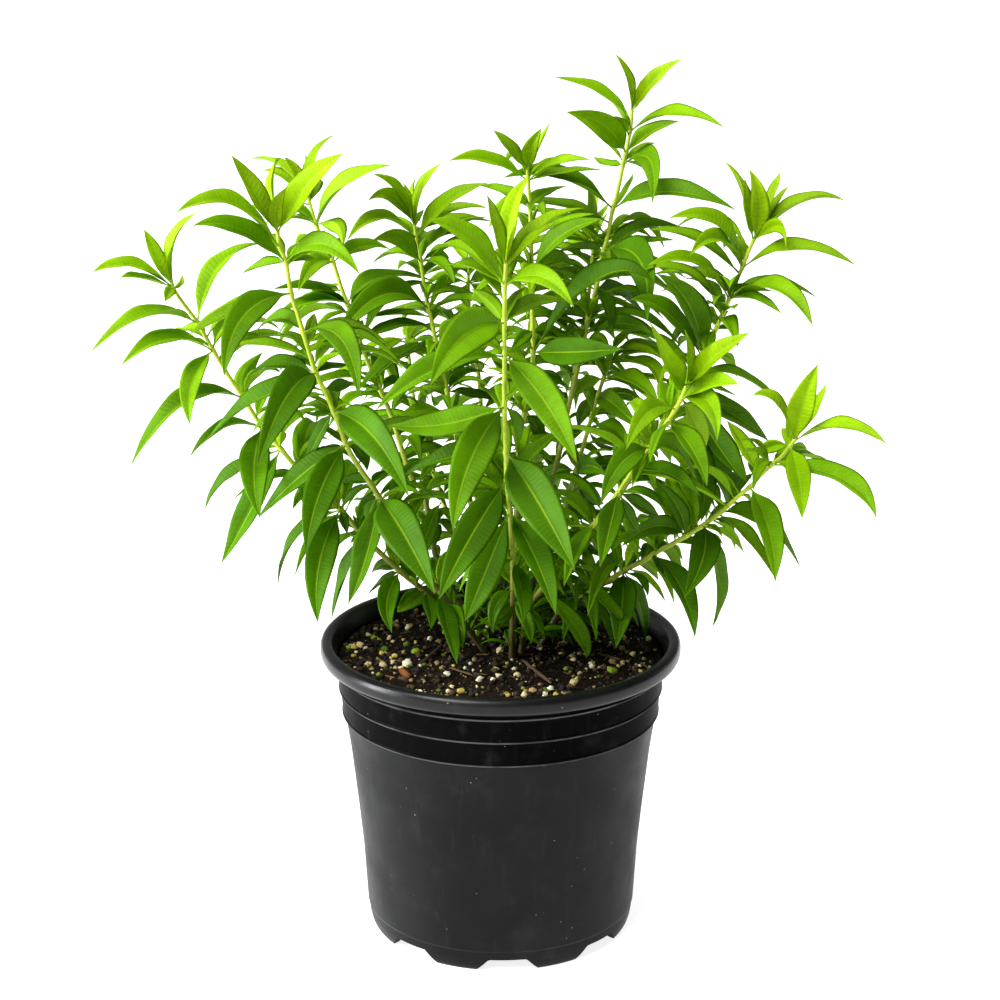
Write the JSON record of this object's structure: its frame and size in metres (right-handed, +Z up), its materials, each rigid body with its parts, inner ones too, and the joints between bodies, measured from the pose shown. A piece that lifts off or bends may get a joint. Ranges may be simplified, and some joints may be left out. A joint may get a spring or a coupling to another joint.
{
  "type": "lemon verbena plant in a nursery pot",
  "caption": "Bushy lemon verbena with long narrow leaves in whorls on slender stems, growing in potting mix in a round black nursery pot.",
  "frame": {"origin": "middle of the pot's flat underside, on the surface it stands on", "axes": "+Z up along the pot's axis; -Y is the side seen in the picture; +X to the right of that view"},
  "size_m": [0.3884, 0.2758, 0.4561],
  "materials": {
    "pot": "satin",
    "potting_mix": "matte",
    "stem": "satin",
    "leaf": "satin"
  },
  "bodies": {
    "root": {"nursery_pot": "pot", "soil": "potting_mix", "stem_01": "stem", "stem_02": "stem", "stem_03": "stem", "stem_04": "stem", "stem_05": "stem", "stem_06": "stem", "stem_07": "stem", "stem_08": "stem", "stem_09": "stem", "stem_10": "stem", "stem_11": "stem", "stem_12": "stem", "stem_13": "stem", "stem_14": "stem", "whorl_01_1": "leaf", "whorl_01_2": "leaf", "whorl_01_3": "leaf", "whorl_01_4": "leaf", "whorl_01_5": "leaf", "whorl_01_6": "leaf", "whorl_02_1": "leaf", "whorl_02_2": "leaf", "whorl_02_3": "leaf", "whorl_02_4": "leaf", "whorl_02_5": "leaf", "whorl_02_6": "leaf", "whorl_02_7": "leaf", "whorl_03_1": "leaf", "whorl_03_2": "leaf", "whorl_04_1": "leaf", "whorl_04_2": "leaf", "whorl_05_1": "leaf", "whorl_05_2": "leaf", "whorl_05_3": "leaf", "whorl_05_4": "leaf", "whorl_05_5": "leaf", "whorl_05_6": "leaf", "whorl_05_7": "leaf", "whorl_06_1": "leaf", "whorl_06_2": "leaf", "whorl_07_1": "leaf", "whorl_07_2": "leaf", "whorl_07_3": "leaf", "whorl_07_4": "leaf", "whorl_08_1": "leaf", "whorl_08_2": "leaf", "whorl_08_3": "leaf", "whorl_09_1": "leaf", "whorl_09_2": "leaf", "whorl_09_3": "leaf", "whorl_09_4": "leaf", "whorl_10_1": "leaf", "whorl_10_2": "leaf", "whorl_10_3": "leaf", "whorl_10_4": "leaf", "whorl_10_5": "leaf", "whorl_14_1": "leaf"}
  },
  "joints": []
}
